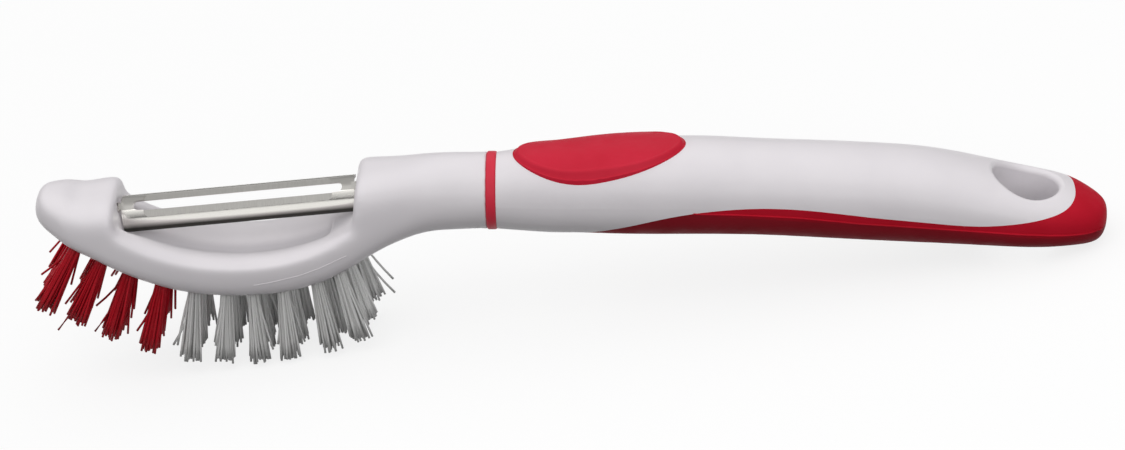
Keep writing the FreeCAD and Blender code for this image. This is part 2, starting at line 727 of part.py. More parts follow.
tilt = 0.0
for trial in range(TRIALS):
    turn = Rotation(AXIS_Y, tilt)
    tuft_low, tuft_along = tuft_lowest(turn)
    tail_low = tail_lowest(turn)
    tilt += math.degrees((tail_low - tuft_low) / (behind - tuft_along))
print("rest tilt %.3f degrees, tufts %.3f, tail %.3f" % (tilt, tuft_low, tail_low))

# At rest, the origin lies on the table below the middle of the whole brush
leaned = Placement(Vector(), Rotation(AXIS_Y, tilt))


def place_all(rest):
    """Sets every piece at the given resting place."""
    for piece in fixed:
        piece.Placement = rest
    for piece, frame in zip(tufts, tuft_frames):
        piece.Placement = rest.multiply(frame)
    peeler_blade.Placement = rest.multiply(blade_frame)
    doc.recompute()


tuft_frames = [tuft.Placement for tuft in tufts]
place_all(leaned)
boxes = [piece.Shape.optimalBoundingBox(False, False) for piece in sub_parts]
middle_x = (min(box.XMin for box in boxes) + max(box.XMax for box in boxes)) / 2
middle_y = (min(box.YMin for box in boxes) + max(box.YMax for box in boxes)) / 2
floor = min(box.ZMin for box in boxes)
rest = Placement(Vector(-middle_x, -middle_y, -floor), leaned.Rotation)
place_all(rest)

# Every object is sound before anything is written
for piece in doc.Objects:
    if "Invalid" in piece.State or "Error" in piece.State:
        raise RuntimeError("%s failed: %s" % (piece.Label, piece.State))
for piece in sub_parts:
    piece.Label = piece.Name
    shape = piece.Shape
    if shape.isNull() or not shape.isValid() or not shape.Solids:
        raise RuntimeError("%s has no sound solid" % piece.Label)

os.makedirs("parts", exist_ok=True)
for piece in sub_parts:
    piece.Shape.exportStep("parts/%s.step" % piece.Label)
    print("%s: %d solid, %.1f cubic mm" % (piece.Label, len(piece.Shape.Solids), piece.Shape.Volume))

pivot = rest.multVec(pivot_middle)
axis = rest.Rotation.multVec(pivot_line)
hole_axis = rest.Rotation.multVec(AXIS_Z)
hole_middle = rest.multVec(Vector(hole_along, 0, 0))
print("pivot %s along %s" % (pivot, axis))
print("hanging hole through %s along %s" % (hole_middle, hole_axis))
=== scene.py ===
# %% [markdown]
# # A vegetable brush with a peeler blade
#
# The brush is a hand's length of moulded white plastic: a bowed head with bristles below and a steel
# blade above, then a red ring, then a handle with a red thumb pad and a soft red back. Its solids
# are already exact, so this lesson loads them as a fixed frame and dresses them. Nothing is moved:
# where a solid is too plain, a finer piece stands in its place and rides on the same body.

# %% The frame
import json
import math
import random

import bmesh
import bpy
import numpy as np
from mathutils import Matrix, Vector
from mathutils.bvhtree import BVHTree


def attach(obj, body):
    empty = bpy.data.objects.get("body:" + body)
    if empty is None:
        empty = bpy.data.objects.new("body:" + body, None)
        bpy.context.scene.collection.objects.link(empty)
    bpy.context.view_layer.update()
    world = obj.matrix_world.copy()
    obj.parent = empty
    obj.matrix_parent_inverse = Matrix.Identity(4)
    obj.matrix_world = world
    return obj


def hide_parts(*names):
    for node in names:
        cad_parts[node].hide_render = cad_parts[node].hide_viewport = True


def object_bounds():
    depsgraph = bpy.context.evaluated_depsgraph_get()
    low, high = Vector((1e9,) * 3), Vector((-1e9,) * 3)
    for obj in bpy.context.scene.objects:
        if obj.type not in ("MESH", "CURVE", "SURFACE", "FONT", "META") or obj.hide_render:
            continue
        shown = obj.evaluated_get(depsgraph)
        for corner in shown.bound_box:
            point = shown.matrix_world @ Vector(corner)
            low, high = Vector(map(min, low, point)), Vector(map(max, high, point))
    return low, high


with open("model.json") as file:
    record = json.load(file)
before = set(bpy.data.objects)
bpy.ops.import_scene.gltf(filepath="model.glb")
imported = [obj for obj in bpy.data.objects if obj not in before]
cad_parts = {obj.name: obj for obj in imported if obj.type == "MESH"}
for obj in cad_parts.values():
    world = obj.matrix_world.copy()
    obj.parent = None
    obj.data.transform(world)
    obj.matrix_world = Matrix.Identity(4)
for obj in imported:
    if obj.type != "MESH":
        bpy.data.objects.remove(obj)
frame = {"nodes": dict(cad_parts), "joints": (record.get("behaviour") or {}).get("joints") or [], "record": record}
cad_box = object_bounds()
nodes = frame["nodes"]
scene = bpy.context.scene
MM = 0.001
cad_size = [round(v / MM, 1) for v in cad_box[1] - cad_box[0]]
print("solids:", len(nodes), "box in mm:", cad_size)

# %% [markdown]
# ## The brush's own level
#
# The brush rests on its bristles and its tail, so it slopes. Every size on it is easier to give
# level, as if the handle lay flat: x along the handle from the ring, z up from the handle's axis.
# The hanging hole runs straight up in that frame, and the blade's pivot is a known point in it, so
# these two give it.

# %% Level coordinates, in millimetres
PIVOT_ALONG = -60.0
PIVOT_UP = -1.5
swivel = frame["joints"][0]
hanging_hole = frame["record"]["mounts"][0]
pivot = Vector(swivel["pos_m"])
brush_up = Vector(hanging_hole["axis"]).normalized()
brush_along = Vector((brush_up.z, 0, -brush_up.x))
brush_across = Vector((0, 1, 0))
ring_middle = pivot - (brush_along * PIVOT_ALONG + brush_up * PIVOT_UP) * MM
level_axes = np.array([brush_along, brush_across, brush_up])


def from_level(x, y, z):
    """A point given level, as it lies in the frame."""
    return ring_middle + (brush_along * x + brush_across * y + brush_up * z) * MM


def to_level(points):
    """Points of the frame, given level."""
    return (np.asarray(points) - np.array(ring_middle)) @ level_axes.T / MM


print("slope of the brush: %.2f degrees" % math.degrees(math.asin(brush_up.x)))

# %% [markdown]
# ## The camera
#
# The photograph looks at the front side from a little above, with a long lens, so that the outline
# is hardly drawn in perspective. A camera matrix is three axes and a place: right, up and backwards.
# Built from the brush's own axes, it keeps the handle as level in the picture as it is in the
# photograph.

# %% Camera
CAMERA_RISE = math.radians(28)
CAMERA_YAW = math.radians(2)
CAMERA_ROLL = math.radians(1.1)
CAMERA_DISTANCE = 0.9
SENSOR_MM = 36
LENS_MM = 119.9
AIM_LEVEL = (17.85, 0, -9.525)


def placed(name, data):
    """A new object in the scene."""
    thing = bpy.data.objects.new(name, data)
    scene.collection.objects.link(thing)
    return thing


aim = from_level(*AIM_LEVEL)
backwards = (
    brush_along * (math.sin(CAMERA_YAW) * math.cos(CAMERA_RISE))
    - brush_across * (math.cos(CAMERA_YAW) * math.cos(CAMERA_RISE))
    + brush_up * math.sin(CAMERA_RISE)
)
level_right = brush_up.cross(backwards).normalized()
rightwards = Matrix.Rotation(-CAMERA_ROLL, 3, backwards) @ level_right
upwards = backwards.cross(rightwards)
camera_axes = Matrix((rightwards, upwards, backwards)).transposed().to_4x4()
camera = placed("camera", bpy.data.cameras.new("camera"))
camera.data.sensor_width = SENSOR_MM
camera.data.lens = LENS_MM
camera.matrix_world = Matrix.Translation(aim + backwards * CAMERA_DISTANCE) @ camera_axes
scene.camera = camera
scene.view_settings.view_transform = "Standard"
print("camera at", [round(v, 3) for v in camera.location])

# %% [markdown]
# ## Light
#
# A studio table gives soft light from above and a little from the front, and less from below. The
# world is a vertical gradient, brighter overhead. Two large soft lamps, one above and one low in
# front, shape the highlights. A gradient is a few shader nodes, and so is every finish further down,
# so three small helpers for nodes come first.


# %% Small helpers for materials
def add(tree, kind, **settings):
    """A shader node with some of its settings and unlinked sockets."""
    node = tree.nodes.new("ShaderNode" + kind)
    for name, value in settings.items():
        if name in node.inputs:
            node.inputs[name].default_value = value
        else:
            setattr(node, name, value)
    return node


def ranged(tree, value, low, high, start=0.0, end=1.0):
    """A number that runs from start to end while a value goes from low to high."""
    limits = {"From Min": low, "From Max": high, "To Min": start, "To Max": end}
    node = add(tree, "MapRange", **limits)
    tree.links.new(value, node.inputs["Value"])
    return node.outputs["Result"]


def grey(shade):
    """A grey of the given shade."""
    return (shade, shade, shade, 1)


# %% World
SKY_TOP = 0.92
SKY_LEVEL = 0.15
SKY_BELOW = 0.1
BELOW_ENDS = 0.45
LEVEL_AT = 0.55
TOP_STARTS = 0.85
world = bpy.data.worlds.new("studio")
world.use_nodes = True
scene.world = world
tree = world.node_tree
sky_place = add(tree, "TexCoord")
sky_height = add(tree, "SeparateXYZ")
sky_shade = add(tree, "ValToRGB")
tree.links.new(sky_place.outputs["Generated"], sky_height.inputs[0])
tree.links.new(ranged(tree, sky_height.outputs["Z"], -1, 1), sky_shade.inputs["Fac"])
ramp = sky_shade.color_ramp.elements
ramp[0].position = BELOW_ENDS
ramp[0].color = grey(SKY_BELOW)
ramp[1].position = TOP_STARTS
ramp[1].color = grey(SKY_TOP)
ramp.new(LEVEL_AT).color = grey(SKY_LEVEL)
tree.links.new(sky_shade.outputs["Color"], tree.nodes["Background"].inputs["Color"])
print("sky from", SKY_BELOW, "below to", SKY_TOP, "overhead")


# %% Lamps
def softbox(name, place, width, depth, watts):
    """A rectangular area lamp that faces the brush."""
    data = bpy.data.lights.new(name, "AREA")
    data.shape = "RECTANGLE"
    data.size = width
    data.size_y = depth
    data.energy = watts
    lamp = placed(name, data)
    lamp.location = place
    lamp.rotation_euler = (aim - Vector(place)).to_track_quat("-Z", "Y").to_euler()


softbox("key_lamp", place=(-0.1, -0.45, 1.0), width=1.2, depth=0.6, watts=1.75)
softbox("front_lamp", place=(0.35, -0.95, 0.36), width=0.9, depth=0.35, watts=2.15)

# %% [markdown]
# ## The floor
#
# The floor is a plain sheet of paper. Seen directly or in a reflection it is nearly white and keeps
# a soft shadow. For all other light it is grey, so that it doesn't light the brush from below. The
# Light Path node tells the two apart.


# %% Floor
def finish_named(name):
    """A new material, its node tree and its main shader."""
    material = bpy.data.materials.new(name)
    material.use_nodes = True
    return material, material.node_tree, material.node_tree.nodes["Principled BSDF"]


def either(tree, first, second):
    """1 where one of two marks is set."""
    node = add(tree, "Math", operation="MAXIMUM")
    tree.links.new(first, node.inputs[0])
    tree.links.new(second, node.inputs[1])
    return node.outputs[0]


FLOOR_HALF = 4.0
PAPER_SHADE = 0.12
GLOW_SHARE = 0.8
corners = ((-1, -1), (1, -1), (1, 1), (-1, 1))
floor_mesh = bpy.data.meshes.new("floor")
floor_corners = [(x * FLOOR_HALF, y * FLOOR_HALF, 0) for x, y in corners]
floor_mesh.from_pydata(floor_corners, [], [(0, 1, 2, 3)])
floor = placed("floor", floor_mesh)
paper, tree, shader = finish_named("paper")
shader.inputs["Base Color"].default_value = grey(PAPER_SHADE)
shader.inputs["Roughness"].default_value = 1
shader.inputs["Specular IOR Level"].default_value = 0
ray = add(tree, "LightPath").outputs
seen_or_mirrored = either(tree, ray["Is Camera Ray"], ray["Is Glossy Ray"])
seen_at_all = either(tree, seen_or_mirrored, ray["Is Transmission Ray"])
glow = add(tree, "Emission", Strength=1.0)
soft_shadow = add(tree, "MixShader", Fac=GLOW_SHARE)
white_shadow = add(tree, "BsdfDiffuse", Color=grey(1))
tree.links.new(white_shadow.outputs[0], soft_shadow.inputs[1])
tree.links.new(glow.outputs[0], soft_shadow.inputs[2])
both = add(tree, "MixShader")
tree.links.new(seen_at_all, both.inputs["Fac"])
tree.links.new(shader.outputs[0], both.inputs[1])
tree.links.new(soft_shadow.outputs[0], both.inputs[2])
tree.links.new(both.outputs[0], tree.nodes["Material Output"].inputs["Surface"])
floor_mesh.materials.append(paper)
print("floor:", 2 * FLOOR_HALF, "m wide")

# %% [markdown]
# ## White plastic
#
# The head and the handle are moulded from one white plastic. It is never a flat white: the melt
# cools a little unevenly, so its tint drifts, its gloss comes and goes, and its skin has a very fine
# grain. Three noises of different size give that, one for tint, one for roughness and one for the
# grain's bump. Along the foot of the trough the white is darkened to a greyer tint, a painted shade
# for the shade of that hollow, and the mesh of the head says where it lies.

# %% Noise at a given size
NOISE_ROUGHNESS = 0.55
NOISE_LOW = 0.3
NOISE_HIGH = 0.7


def noise(tree, grain_mm, detail=2.0, stretch=(1, 1, 1)):
    """Noise whose blotches are about the given size, in the frame's own coordinates."""
    place = add(tree, "TexCoord")
    scaled = add(tree, "Mapping", vector_type="POINT")
    scaled.inputs["Scale"].default_value = [1 / (grain_mm * MM) * s for s in stretch]
    blotches = add(tree, "TexNoise", Scale=1.0, Detail=detail, Roughness=NOISE_ROUGHNESS)
    tree.links.new(place.outputs["Object"], scaled.inputs["Vector"])
    tree.links.new(scaled.outputs["Vector"], blotches.inputs["Vector"])
    return blotches.outputs["Fac"]


def between(tree, share, low, high):
    """A number or a colour that runs from low to high with a noise."""
    if not isinstance(low, tuple):
        return ranged(tree, share, NOISE_LOW, NOISE_HIGH, low, high)
    ramp = add(tree, "ValToRGB")
    stops = ramp.color_ramp.elements
    stops[0].position = NOISE_LOW
    stops[1].position = NOISE_HIGH
    stops[0].color = (*low, 1)
    stops[1].color = (*high, 1)
    tree.links.new(share, ramp.inputs["Fac"])
    return ramp.outputs["Color"]


def grain(tree, shader, height, depth_mm):
    """Bumps a surface by a noise of the given depth."""
    bump = add(tree, "Bump", Strength=1.0, Distance=depth_mm * MM)
    tree.links.new(height, bump.inputs["Height"])
    tree.links.new(bump.outputs["Normal"], shader.inputs["Normal"])


# %% A moulded finish
TINT_DETAIL = 2.0
GLOSS_DETAIL = 4.0
GRAIN_DETAIL = 3.0


def moulded(name, low, high, roughness, specular, tint_mm, gloss_mm, grain_mm, grain_depth_mm):
    """A moulded finish: drifting tint, uneven gloss and a fine grain."""
    material, tree, shader = finish_named(name)
    tint = noise(tree, tint_mm, TINT_DETAIL)
    gloss = noise(tree, gloss_mm, GLOSS_DETAIL)
    tree.links.new(between(tree, tint, low, high), shader.inputs["Base Color"])
    tree.links.new(between(tree, gloss, *roughness), shader.inputs["Roughness"])
    shader.inputs["Specular IOR Level"].default_value = specular
    grain(tree, shader, noise(tree, grain_mm, GRAIN_DETAIL), grain_depth_mm)
    return material, tree, shader


# %% Colours that change over a piece
FIRST_COLOUR = 6
SECOND_COLOUR = 7
MIXED_COLOUR = 2


def stored(tree, name):
    """A number that is stored at the points of a mesh."""
    return add(tree, "Attribute", attribute_name=name).outputs["Fac"]


def colour_of(shader):
    """The socket that gives a shader its colour."""
    return shader.inputs["Base Color"].links[0].from_socket


def mixed(tree, share, first, second, how="MIX"):
    """Two colours mixed by a share. Each is a socket or a plain colour."""
    node = add(tree, "Mix", data_type="RGBA", blend_type=how)
    tree.links.new(share, node.inputs["Factor"])
    for number, colour in ((FIRST_COLOUR, first), (SECOND_COLOUR, second)):
        if isinstance(colour, tuple):
            node.inputs[number].default_value = (*colour, 1)
        else:
            tree.links.new(colour, node.inputs[number])
    return node.outputs[MIXED_COLOUR]


# %% The white finish
PAINTED_SHADE_TINT = (0.74, 0.735, 0.745)
white_plastic, tree, shader = moulded(
    "white_plastic", (0.790, 0.755, 0.785), (0.825, 0.790, 0.818), (0.30, 0.42),
    specular=0.3, tint_mm=14, gloss_mm=5, grain_mm=0.35, grain_depth_mm=0.004,
)
# The foot of the trough is darkened by a painted shade, stored in the head's mesh.
painted_shade = mixed(tree, stored(tree, "painted_shade"), colour_of(shader), PAINTED_SHADE_TINT, "MULTIPLY")
tree.links.new(painted_shade, shader.inputs["Base Color"])
print("white plastic:", len(tree.nodes), "nodes")

# %% [markdown]
# ## Red rubber
#
# The pad, the ring and the soft back are a red elastomer, moulded over the white core. It is duller
# than the plastic, and its grain is coarser, as the mould is blasted to give a grip. The pad is a
# slightly pinker mix than the back, so each has its own colours. Rubber mirrors little, so its gloss
# is kept low.

# %% The red finishes
pad_red = moulded(
    "pad_red", (0.585, 0.012, 0.036), (0.625, 0.016, 0.044), (0.46, 0.58),
    specular=0.16, tint_mm=9, gloss_mm=3, grain_mm=0.22, grain_depth_mm=0.012,
)[0]
ring_red = moulded(
    "ring_red", (0.660, 0.026, 0.056), (0.700, 0.032, 0.064), (0.38, 0.50),
    specular=0.2, tint_mm=6, gloss_mm=3, grain_mm=0.22, grain_depth_mm=0.008,
)[0]
print("red finishes:", pad_red.name, ring_red.name)

# %% [markdown]
# ## The painted shade on the soft back's lower half
#
# A fine line runs along the soft back, from the crest of its wavy edge to the tail. The half below
# it is clearly darker, and that darker red is a painted shade, for the shade on the half that faces
# down. The material takes the line as a plane: the distance of a point from it is one dot product,
# and the colour changes across it.

# %% The soft back's finish
PARTING_POINT = from_level(48.4, 0, 0)
PARTING_DIP = 0.0756
PARTING_BLUR_MM = 0.5
GRIP_TINT_MM = 11
grip_red, tree, shader = moulded(
    "grip_red", (0.490, 0.008, 0.022), (0.540, 0.010, 0.028), (0.46, 0.60),
    specular=0.05, tint_mm=GRIP_TINT_MM, gloss_mm=4, grain_mm=0.25, grain_depth_mm=0.015,
)
# Below the parting line the red is darker: a painted shade for the half that faces down.
painted_shade_red = between(
    tree, noise(tree, GRIP_TINT_MM), (0.245, 0.010, 0.018), (0.280, 0.012, 0.022)
)
parting_normal = (brush_up + brush_along * PARTING_DIP).normalized()
parting_level = parting_normal.dot(PARTING_POINT)
parting_blur = PARTING_BLUR_MM * MM
parting_place = add(tree, "TexCoord")
height = add(tree, "VectorMath", operation="DOT_PRODUCT")
height.inputs[1].default_value = parting_normal
tree.links.new(parting_place.outputs["Object"], height.inputs[0])
above = ranged(
    tree, height.outputs["Value"], parting_level - parting_blur, parting_level + parting_blur
)
tree.links.new(mixed(tree, above, painted_shade_red, colour_of(shader)), shader.inputs["Base Color"])
print("soft back:", len(tree.nodes), "nodes")

# %% [markdown]
# ## Steel
#
# The blade is rolled sheet. Rolling leaves fine lines along it, so a noise is drawn out along the
# blade and squeezed across it. The two cutting edges are ground, which crosses those lines with
# short, duller ones. All is the same metal: only the direction of the lines, the roughness and the
# shade differ. The photograph shows the lower margins of the sheet nearly black, most likely the
# mirror image of something dark in that room. Nothing dark stands here, so the sheet itself is
# darkened there. How far a point lies round the bend from the crown, in degrees, is stored in the
# blade's mesh.

# %% The steel finishes
LINES_MM = 0.12
LINES_DETAIL = 3.0
ALONG_BLADE = (0.01, 1, 1)
ACROSS_BLADE = (1, 0.05, 0.05)


def steel(name, low, high, roughness, stretch, depth_mm):
    """Bare steel with drawn-out lines."""
    material, tree, shader = finish_named(name)
    lines = noise(tree, LINES_MM, LINES_DETAIL, stretch)
    tree.links.new(between(tree, lines, low, high), shader.inputs["Base Color"])
    tree.links.new(between(tree, lines, *roughness), shader.inputs["Roughness"])
    shader.inputs["Metallic"].default_value = 1
    grain(tree, shader, lines, depth_mm)
    return material, tree, shader


ground_steel = steel(
    "ground_steel", (0.34, 0.33, 0.315), (0.42, 0.41, 0.39), (0.36, 0.48),
    ACROSS_BLADE, depth_mm=0.003,
)[0]
# A darker steel for the far half of the blade's ends: a painted reflection.
painted_dull_steel = steel(
    "painted_dull_steel", (0.32, 0.31, 0.295), (0.39, 0.38, 0.36), (0.28, 0.40),
    ALONG_BLADE, depth_mm=0.002,
)[0]
wire_steel = steel(
    "wire_steel", (0.45, 0.45, 0.45), (0.55, 0.55, 0.55), (0.3, 0.4),
    ALONG_BLADE, depth_mm=0.002,
)[0]
print("steel finishes:", ground_steel.name, painted_dull_steel.name, wire_steel.name)

# %% A painted reflection darkens the lower margins of the rolled sheet
PAINTED_REFLECTION_DARK = (0.07, 0.068, 0.06)
PAINTED_REFLECTION_STARTS = 55
PAINTED_REFLECTION_FULL = 74
rolled_steel, tree, shader = steel(
    "rolled_steel", (0.78, 0.76, 0.715), (0.86, 0.84, 0.80), (0.14, 0.22),
    ALONG_BLADE, depth_mm=0.0015,
)
# The lower margins of the sheet are darkened: a painted reflection of something dark.
painted_reflection = ranged(tree, stored(tree, "from_crown"), PAINTED_REFLECTION_STARTS, PAINTED_REFLECTION_FULL)
painted_sheet_tone = mixed(tree, painted_reflection, colour_of(shader), PAINTED_REFLECTION_DARK)
tree.links.new(painted_sheet_tone, shader.inputs["Base Color"])
print("rolled steel:", len(tree.nodes), "nodes")

# %% [markdown]
# ## Bristle filament
#
# Each bristle is a drawn nylon thread. Threads in one tuft differ a little in tone. The tone is
# stored in the mesh, one number for each thread, and the material mixes two colours by it. The rows
# behind are drawn from the paler tones: painted light, standing in for light that reaches them too
# little here.

# %% The bristle finishes
FILAMENT_GLOSS_MM = 0.6
FILAMENT_ROUGHNESS = (0.4, 0.55)
FILAMENT_SPECULAR = 0.2
FILAMENT_GRAIN_MM = 0.15
FILAMENT_GRAIN_DEPTH_MM = 0.004


def bristle(name, dark, light):
    """Drawn filament whose tone comes from the mesh."""
    material, tree, shader = finish_named(name)
    tone = mixed(tree, stored(tree, "tone"), dark, light)
    gloss = noise(tree, FILAMENT_GLOSS_MM)
    tree.links.new(tone, shader.inputs["Base Color"])
    tree.links.new(between(tree, gloss, *FILAMENT_ROUGHNESS), shader.inputs["Roughness"])
    shader.inputs["Specular IOR Level"].default_value = FILAMENT_SPECULAR
    grain(tree, shader, noise(tree, FILAMENT_GRAIN_MM), FILAMENT_GRAIN_DEPTH_MM)
    return material


red_bristle = bristle("red_bristle", (0.32, 0.004, 0.010), (0.66, 0.009, 0.026))
grey_bristle = bristle("grey_bristle", (0.56, 0.557, 0.55), (0.95, 0.947, 0.94))
print("bristle finishes:", red_bristle.name, grey_bristle.name)

# %% [markdown]
# ## The head
#
# The head is one moulding whose rims run softly into each other, softer than a machined round. The
# solid has a small round on its rims, so a copy of it is rebuilt from even little squares, a voxel
# remesh, and then smoothed. Smoothing eats every edge it meets, so each point has a weight: full on
# the rims of the gap, little elsewhere, and none at the ring, where the head has to meet its
# neighbour squarely.
#
# Below the blade the bow carries a trough for the peelings. On the real brush its rims are not flat:
# from the foot of the trough they roll over in one broad round to the outside. The solid has a flat
# rim, so before the smoothing its top is pressed down to that profile, a quarter of a sine from foot
# to crest.


# %% A finer copy of a solid
def fine_copy(node, name, voxel_mm):
    """A copy of a solid, rebuilt from even squares."""
    piece = placed(name, nodes[node].data.copy())
    remesh = piece.modifiers.new("even", "REMESH")
    remesh.mode = "VOXEL"
    remesh.voxel_size = voxel_mm * MM
    remesh.use_smooth_shade = True
    built = piece.evaluated_get(bpy.context.evaluated_depsgraph_get())
    settled = bpy.data.meshes.new_from_object(built)
    piece.modifiers.clear()
    piece.data = settled
    piece.data.name = name
    piece.data.materials.clear()
    return piece


def points_of(mesh):
    """The points of a mesh as an array."""
    flat = np.zeros(len(mesh.vertices) * 3)
    mesh.vertices.foreach_get("co", flat)
    return flat.reshape(-1, 3)


def normals_of(mesh):
    """The normals at the points of a mesh as an array."""
    flat = np.zeros(len(mesh.vertices) * 3)
    mesh.vertex_normals.foreach_get("vector", flat)
    return flat.reshape(-1, 3)


# %% Smoothing by weights
def soften(piece, weights, rounds):
    """Smooths a mesh, each point by its own weight."""
    mesh = piece.data
    points = points_of(mesh)
    ends = np.zeros(len(mesh.edges) * 2, dtype=np.int64)
    mesh.edges.foreach_get("vertices", ends)
    first, second = ends.reshape(-1, 2).T
    count = np.bincount(ends, minlength=len(points))[:, None]
    for _ in range(rounds):
        total = np.zeros_like(points)
        for axis in range(3):
            total[:, axis] = np.bincount(first, points[second, axis], len(points))
            total[:, axis] += np.bincount(second, points[first, axis], len(points))
        points += (total / count - points) * weights[:, None]
    mesh.vertices.foreach_set("co", points.ravel())
    mesh.update()


def fade(values, start, end):
    """0 before start, 1 after end, and smooth between."""
    share = np.clip((values - start) / (end - start), 0, 1)
    return share * share * (3 - 2 * share)


def keep_numbers(piece, name, values):
    """Stores a number at each point of a mesh, for its material."""
    piece.data.attributes.new(name, "FLOAT", "POINT").data.foreach_set("value", values)


def dressed(piece, node, material):
    """The piece stands for a solid, rides with the brush and takes a finish."""
    piece.data.materials.append(material)
    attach(piece, "brush")
    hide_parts(node)
    print(piece.name, "has", len(piece.data.polygons), "faces")


# %% Where a point of the head lies
HEAD_VOXEL_MM = 0.4
BOW_CENTRE = (-60.6, 40.4)
BOW_RADIUS = 54.0
UP_FADE = (0.3, 0.8)
NEAR_BOW_MM = (2.5, 3.5)
head_shell = fine_copy("brush_head", "head_shell", HEAD_VOXEL_MM)
points = points_of(head_shell.data)
x, y, z = to_level(points).T
from_bow = np.hypot(x - BOW_CENTRE[0], z - BOW_CENTRE[1]) - BOW_RADIUS
round_bow = np.degrees(np.arctan2(x - BOW_CENTRE[0], BOW_CENTRE[1] - z))
on_top = fade(normals_of(head_shell.data) @ np.array(brush_up), *UP_FADE)
on_top *= 1 - fade(np.abs(from_bow), *NEAR_BOW_MM)
print("points on top of the bow:", int((on_top > 0).sum()), "of", len(points))

# %% The trough and its rolled rims
TROUGH_HALF_MM = 6.0
TROUGH_DEPTH_MM = 1.4
FLOOR_DEPTH_MM = 1.8
FLOOR_EDGE_MM = 3.0
CREST_MM = 9.0
CREST_FALL_MM = 0.9
TROUGH_ENDS_DEGREES = (22, 34)
narrow = TROUGH_DEPTH_MM * np.clip(1 - (y / TROUGH_HALF_MM) ** 2, 0, 1)
climb = np.clip((np.abs(y) - FLOOR_EDGE_MM) / (CREST_MM - FLOOR_EDGE_MM), 0, 1)
rolled = FLOOR_DEPTH_MM * (1 - np.sin(climb * math.pi / 2))
rolled += CREST_FALL_MM * np.clip((np.abs(y) - CREST_MM) / FLOOR_EDGE_MM, 0, 1) ** 2
deeper = np.maximum(rolled - narrow, 0) * on_top
deeper *= 1 - fade(np.abs(round_bow), *TROUGH_ENDS_DEGREES)
turn = np.radians(round_bow)
outwards = np.stack([np.sin(turn), 0 * x, -np.cos(turn)], axis=1)
points += (deeper[:, None] * outwards) @ level_axes * MM
head_shell.data.vertices.foreach_set("co", points.ravel())
print("rims pressed down by up to %.2f mm" % deeper.max())

# %% Head shell
SOFT_BOW_MM = (4.0, 7.0)
WALLS_UP_MM = (-8.0, -5.0)
WALLS_REACH_MM = (36.0, 40.0)
AT_RING_MM = (-6.0, -2.0)
FULL_WEIGHT = 0.5
LEAST_SHARE = 0.12
HEAD_ROUNDS = 40
FOOT_STARTS_MM = (-4.0, 0.8)
FOOT_ENDS_MM = (1.6, 6.5)
FOOT_SPAN_DEGREES = (24, 36)
on_bow = 1 - fade(np.abs(from_bow), *SOFT_BOW_MM)
on_walls = fade(z, *WALLS_UP_MM) * (1 - fade(np.abs(x - BOW_CENTRE[0]), *WALLS_REACH_MM))
at_ring = fade(x, *AT_RING_MM)
weights = FULL_WEIGHT * np.maximum(LEAST_SHARE, np.maximum(on_bow, on_walls)) * (1 - at_ring)
soften(head_shell, weights, HEAD_ROUNDS)
# A painted shade on the foot of the trough, on its near side, for the shade of that hollow.
foot = fade(-y, *FOOT_STARTS_MM) * (1 - fade(-y, *FOOT_ENDS_MM))
painted_shade_share = foot * on_top * (1 - fade(np.abs(round_bow), *FOOT_SPAN_DEGREES))
keep_numbers(head_shell, "painted_shade", painted_shade_share)
dressed(head_shell, "brush_head", white_plastic)

# %% [markdown]
# ## The handle
#
# The handle's solids already have their true curves, so they stay and only take their finishes. The
# red pieces are separate mouldings, and the fine line between them and the white is a real joint.
# The wire staples at the feet of the tufts are hidden in the head and stay too.

# %% Finishes for the solids that stay
for name, material in (
    ("handle_core", white_plastic),
    ("collar_ring", ring_red),
    ("back_grip", grip_red),
    ("tuft_anchors", wire_steel),
):
    nodes[name].data.materials.clear()
    nodes[name].data.materials.append(material)
    print(name, "takes", material.name)

# %% [markdown]
# ## The thumb pad
#
# The pad is a rubber oval with a bevel: a rim about a millimetre wide slopes down to the white
# plastic, and a faint raised crease parts it from the middle, where the thumb lies. The solid has a
# plain rounded edge, so a finer copy of it is pressed down along its rim, the more the nearer a
# point is to the edge, and lifted a little along the crease.

# %% Pad shell
PAD_VOXEL_MM = 0.25
PAD_MIDDLE = 26.9
PAD_HALF_LENGTH = 20.6
PAD_HALF_WIDTH = 10.5
PAD_BEVEL_MM = 1.1
PAD_DROP_MM = 0.9
PAD_LIP_MM = 0.22
PAD_LIP_FROM_EDGE_MM = 1.4
PAD_LIP_WIDTH_MM = 0.4
PAD_UP_FADE = (0.1, 0.6)
PAD_WEIGHT = 0.35
PAD_ROUNDS = 3
LEAST_REACH = 0.01
pad_shell = fine_copy("thumb_pad", "pad_shell", PAD_VOXEL_MM)
points = points_of(pad_shell.data)
x, y, z = to_level(points).T
reach = np.hypot((x - PAD_MIDDLE) / PAD_HALF_LENGTH, y / PAD_HALF_WIDTH)
from_edge = np.hypot(x - PAD_MIDDLE, y) * (1 / np.maximum(reach, LEAST_REACH) - 1)
faces_up = fade(normals_of(pad_shell.data) @ np.array(brush_up), *PAD_UP_FADE)
drop = PAD_DROP_MM * np.clip(1 - from_edge / PAD_BEVEL_MM, 0, 1)
lip = PAD_LIP_MM * np.exp(-(((from_edge - PAD_LIP_FROM_EDGE_MM) / PAD_LIP_WIDTH_MM) ** 2))
points += ((lip - drop) * faces_up)[:, None] * MM * np.array(brush_up)
pad_shell.data.vertices.foreach_set("co", points.ravel())
soften(pad_shell, np.full(len(points), PAD_WEIGHT), PAD_ROUNDS)
dressed(pad_shell, "thumb_pad", pad_red)

# %% [markdown]
# ## The ridge on the soft back
#
# A thin ridge runs along either side of the soft back, from the crest of the wavy edge to the tail,
# as a mould leaves where its halves meet. The head has such a line too, fainter, low on the bow.
# Each is drawn as a fine tube, half sunk in the surface: points of its course are given level, and
# each is pushed against the surface from the side until it touches.


